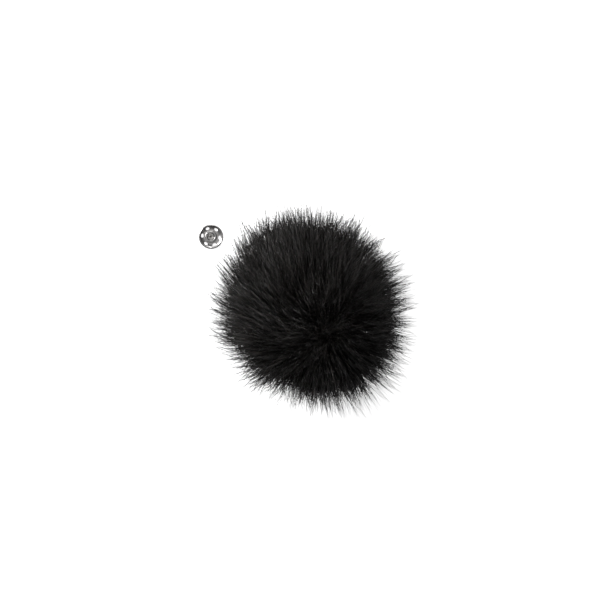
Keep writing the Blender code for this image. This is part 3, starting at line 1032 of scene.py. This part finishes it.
def build_stitches(thread):
    """The stitches that hold the stud to the felt and the felt to the bag."""
    made = []
    for number in range(HOLE_COUNT):
        name = f"stud_stitch_{number + 1}"
        middle = HOLE_TURN + math.tau * number / HOLE_COUNT
        made.append((hole_stitch(f"visual_{name}", middle, thread), name))
    number = 1
    while f"patch_stitch_{number}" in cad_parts:
        name = f"patch_stitch_{number}"
        low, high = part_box(name)
        middle = math.atan2((low.y + high.y) / 2 - AXIS.y, (low.x + high.x) / 2 - AXIS.x)
        made.append((whip_stitch(f"visual_{name}", middle, thread), name))
        number += 1
    for piece, stands_for in made:
        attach(piece, "stud_half")
        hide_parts(stands_for)


def build_patch(felt):
    """The felt disc over the bag's gathered mouth."""
    edge = 0.35 * MM
    rim = PATCH_RADIUS - edge - 0.1 * MM
    rings = [rim * step / 30 for step in range(31)]
    outline = [(radius, 0.0) for radius in rings[:-1]]
    outline += arc((rim, PATCH_THICK / 2), (edge, PATCH_THICK / 2), -90, 90, 10)
    outline += [(radius, PATCH_THICK) for radius in reversed(rings[:-1])]
    patch = turned("felt_patch", outline, Vector((AXIS.x, AXIS.y, PATCH_LOW.z)), felt, steps=180)
    roughen(patch.data, 0.12 * MM, 900.0, 3.0)
    roughen(patch.data, 0.05 * MM, 3500.0, 8.0)
    patch.data.shade_smooth()
    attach(patch, "stud_half")
    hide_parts("base_patch")


def build_fuzz(rng, count=1500):
    """Loose fibres, half of them round the felt's edge and half over its lower face."""
    turn = rng.random(count) * math.tau
    at_edge = rng.random(count) < 0.5
    reach = np.where(at_edge, PATCH_RADIUS - 0.2 * MM, PATCH_RADIUS * np.sqrt(rng.random(count)))
    height = np.where(reach < PATCH_RADIUS - 0.3 * MM, 0.0, PATCH_THICK * rng.random(count))
    start = np.stack([reach * np.cos(turn), reach * np.sin(turn), height], axis=1)
    start += np.array([AXIS.x, AXIS.y, PATCH_LOW.z])
    lead = unit(np.stack([np.cos(turn), np.sin(turn), rng.normal(-0.2, 0.5, count)], axis=1)
                + rng.normal(0, 0.8, (count, 3)))
    lead[:, 2] = np.where(height == 0.0, -np.abs(lead[:, 2]) * 0.5, lead[:, 2])
    length = rng.uniform(0.5, 1.4, count) * MM
    t = np.linspace(0, 1, 5)[None, :, None]
    fibre = plain_material("felt_fibre", (0.02, 0.02, 0.021), 0.8, 0.3)
    curl = rng.normal(0, 0.35, (count, 1, 3)) * length[:, None, None]
    path = start[:, None] + (lead * length[:, None])[:, None] * t + curl * t**2
    fuzz = strand_mesh("felt_fuzz", path, np.full(count, FUZZ_RADIUS), [fibre, fibre], np.ones(1), rng)
    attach(fuzz, "stud_half")


# ---- bag, filling and gathering thread

# The power of the superellipse that the bag's lower half follows
BAG_POWER = 4
BAG_CROWN = BAG_HIGH.z - BAG_LOW.z - BAG_DEPTH
# The tuck in the middle of the mouth, and the round turn of the cloth into it
TUCK_RADIUS = 2.6 * MM
TUCK_LENGTH = 4.6 * MM
TURN_IN = 1.2 * MM
CLOTH = 0.7 * MM
PLEATS = 26
PLEAT_DEPTH = 1.5 * MM
# How far from the crown the pleats begin, and over what length they deepen
PLEAT_START = 48 * MM
PLEAT_GROWTH = 30 * MM
FILLING_GAP = 2.9 * MM
FILLING_MOUTH = 4.0 * MM
CURL_RADIUS = 0.03 * MM
CURL_RISE = 1.2 * MM
# Running stitches of the gathering thread, and how far they weave in and out
GATHER_STITCHES = 12
GATHER_WAVE = 0.5 * MM
# The closing knot is a trefoil
KNOT_RADIUS = 0.9 * MM
KNOT_LOOP = 0.45 * MM
KNOT_THREAD = 0.26 * MM


def bag_side(inset, mouth_radius, steps):
    """Half outline of the bag from its crown to its mouth: an ellipse above, a superellipse below."""
    radius, crown, depth = BAG_RADIUS - inset, BAG_CROWN - inset, BAG_DEPTH - inset
    across = mouth_radius / radius
    last = math.atan2((1 - across**BAG_POWER) ** (1 / BAG_POWER), across)
    side = [(radius * math.sin(a), BAG_MIDDLE + crown * math.cos(a))
            for a in np.linspace(0, math.pi / 2, steps, endpoint=False)]
    for angle in np.linspace(0, last, steps + 1):
        scale = (math.cos(angle) ** BAG_POWER + math.sin(angle) ** BAG_POWER) ** (-1 / BAG_POWER)
        side.append((radius * math.cos(angle) * scale, BAG_MIDDLE - depth * math.sin(angle) * scale))
    return side


def pleated_grid(side, run):
    """The bag's outline taken round the axis, with folds that deepen towards its mouth."""
    slope = unit(np.gradient(side, axis=0))
    outward = np.stack([-slope[:, 1], slope[:, 0]], axis=1)
    steps = PLEATS * 10
    angle = math.tau * np.arange(steps) / steps
    wander = 0.25 * np.sin(3 * angle + 1.0) + 0.2 * np.sin(7 * angle)
    depth = np.clip((run - PLEAT_START) / PLEAT_GROWTH, 0, 1) ** 1.5 * PLEAT_DEPTH
    depth *= np.clip(side[:, 0] / (6 * MM), 0.25, 1)
    fold = 0.5 - 0.5 * np.cos(PLEATS * angle + wander)
    inward = depth[:, None] * fold[None] ** 0.7
    reach = side[:, 0, None] + outward[:, 0, None] * inward
    height = side[:, 1, None] + outward[:, 1, None] * inward
    return np.stack([AXIS.x + reach * np.cos(angle), AXIS.y + reach * np.sin(angle), height], axis=2)


def grid_mesh(name, grid, run):
    """A closed band of faces through a grid of (row, column) places, mapped for its knitted stitches."""
    rows, steps = grid.shape[:2]
    faces, maps = [], []
    for row in range(rows - 1):
        here, below = row * steps, (row + 1) * steps
        low, high = run[row] / run[-1], run[row + 1] / run[-1]
        for col in range(steps):
            after = (col + 1) % steps
            left, right = col / steps, (col + 1) / steps
            faces.append((here + col, below + col, below + after, here + after))
            maps += [(left, low), (left, high), (right, high), (right, low)]
    mesh = bpy.data.meshes.new(name)
    mesh.from_pydata(grid.reshape(-1, 3).tolist(), [], faces)
    layer = mesh.uv_layers.new(name="knit")
    layer.data.foreach_set("uv", np.array(maps, dtype=np.float32).ravel())
    return mesh


def build_bag(knit):
    """The fur's knitted ground as one disc, drawn together in pleats round the tuck under it."""
    turn_radius = TUCK_RADIUS + TURN_IN
    side = np.array(bag_side(0.0, turn_radius, 44))
    turn_in = round_arc((turn_radius, BAG_LOW.z + TURN_IN), TURN_IN, -90, -180, 6)
    tuck = [(TUCK_RADIUS, BAG_LOW.z + height) for height in np.linspace(1.6 * MM, TUCK_LENGTH, 6)]
    side = np.concatenate([side, turn_in[1:], tuck])
    run = run_along(side)
    bag = add_mesh("gathered_bag", grid_mesh("gathered_bag", pleated_grid(side, run), run), knit)
    weld = bag.modifiers.new("crown", "WELD")
    weld.merge_threshold = WELD
    thick = bag.modifiers.new("cloth", "SOLIDIFY")
    thick.thickness = CLOTH
    thick.offset = 0.0
    apply_modifiers(bag)
    bag.data.shade_smooth()
    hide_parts("fur_backing")
    return bag


def build_filling(filling):
    """A lumpy ball of polyester fibre that fills the bag."""
    outline = bag_side(FILLING_GAP, FILLING_MOUTH, 40)
    over_tuck = BAG_LOW.z + TUCK_LENGTH
    outline += [(FILLING_MOUTH, over_tuck + 1.5 * MM), (0.0, over_tuck + 1.6 * MM)]
    ball = turned("fibre_filling", outline, AXIS, filling, steps=120)
    roughen(ball.data, 1.1 * MM, 180.0, 5.0)
    roughen(ball.data, 0.5 * MM, 600.0, 9.0)
    ball.data.shade_smooth()
    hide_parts("stuffing")
    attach(ball, "pompom")


def build_curls(rng, count=2200):
    """Loose curls of fibre over the filling, each an arc that lies along it."""
    out = random_directions(rng, count)
    start = BAG_CENTRE + out * (np.array([1, 1, 0.98]) * (BAG_RADIUS - 4.5 * MM))
    side = unit(np.cross(out, rng.normal(0, 1, (count, 3))))
    over = np.cross(out, side)
    t = np.linspace(0, 1, 9)[None]
    length = rng.uniform(4, 9, (count, 1)) * MM
    bend = rng.uniform(0.5, 1.4, (count, 1)) * math.pi
    path = start[:, None] + side[:, None] * (length * np.sin(bend * t) / bend)[..., None]
    path += over[:, None] * (length * (1 - np.cos(bend * t)) / bend)[..., None]
    path += out[:, None] * (CURL_RISE * np.sin(math.pi * t))[..., None]
    fibre = plain_material("filling_fibre", (0.8, 0.8, 0.78), 0.6)
    curls = strand_mesh("filling_curls", path, np.full(count, CURL_RADIUS), [fibre, fibre], np.ones(1), rng)
    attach(curls, "pompom")


def build_gathering(thread):
    """The gathering thread's ring of running stitches, and the knot that closes it."""
    low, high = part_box("gathering_thread")
    radius = (high.z - low.z) / 2
    ring = (high.x - low.x) / 2 - radius - GATHER_WAVE
    points = []
    for angle in np.linspace(0, math.tau, GATHER_STITCHES * 8 + 1):
        reach = ring + GATHER_WAVE * math.cos(GATHER_STITCHES * angle)
        points.append((reach * math.cos(angle), reach * math.sin(angle), 0.0))
    middle = Vector((AXIS.x, AXIS.y, (low.z + high.z) / 2))
    gather = twisted_thread("visual_gathering_thread", points, radius, thread, middle)

    low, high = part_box("closing_knot")
    points = []
    for angle in np.linspace(0, math.tau, 73):
        reach = KNOT_RADIUS + KNOT_LOOP * math.cos(3 * angle)
        height = KNOT_LOOP * math.sin(3 * angle)
        points.append((reach * math.cos(2 * angle), reach * math.sin(2 * angle), height))
    middle = Vector((AXIS.x, AXIS.y, (low.z + high.z) / 2))
    knot = twisted_thread("visual_closing_knot", points, KNOT_THREAD, thread, middle, pitch=1.0 * MM)
    for piece, stands_for in ((gather, "gathering_thread"), (knot, "closing_knot")):
        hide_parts(stands_for)
    return gather, knot


# ---- the object


def build_object():
    """All the visible pieces; all but the bag, its gathering thread and its knot go into the three bodies
    of the frame.
    """
    rng = np.random.default_rng(11)
    nickel = metal("nickel", (0.54, 0.53, 0.525), (0.64, 0.625, 0.62), (0.28, 0.36), 0.16 * MM)
    # The cup's nickel is paler than the plate's: painted light, so that the floor of the shaded cup reads
    # lit
    lit_nickel = metal("nickel_painted_light", (0.90, 0.88, 0.86), (0.96, 0.95, 0.93), (0.24, 0.32), 0.12 * MM)
    wire = metal("spring_steel", (0.42, 0.41, 0.40), (0.55, 0.54, 0.53), (0.22, 0.30), 0.05 * MM)
    thread = thread_material()
    felt = felt_material()
    build_socket(nickel, lit_nickel, wire)
    build_stud(nickel)
    build_stitches(thread)
    build_patch(felt)
    build_fuzz(rng)
    build_filling(filling_material())
    build_curls(rng)
    base = [build_bag(knit_material()), *build_gathering(thread)]
    for piece in base:
        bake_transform(piece)
    build_fur()


build_object()
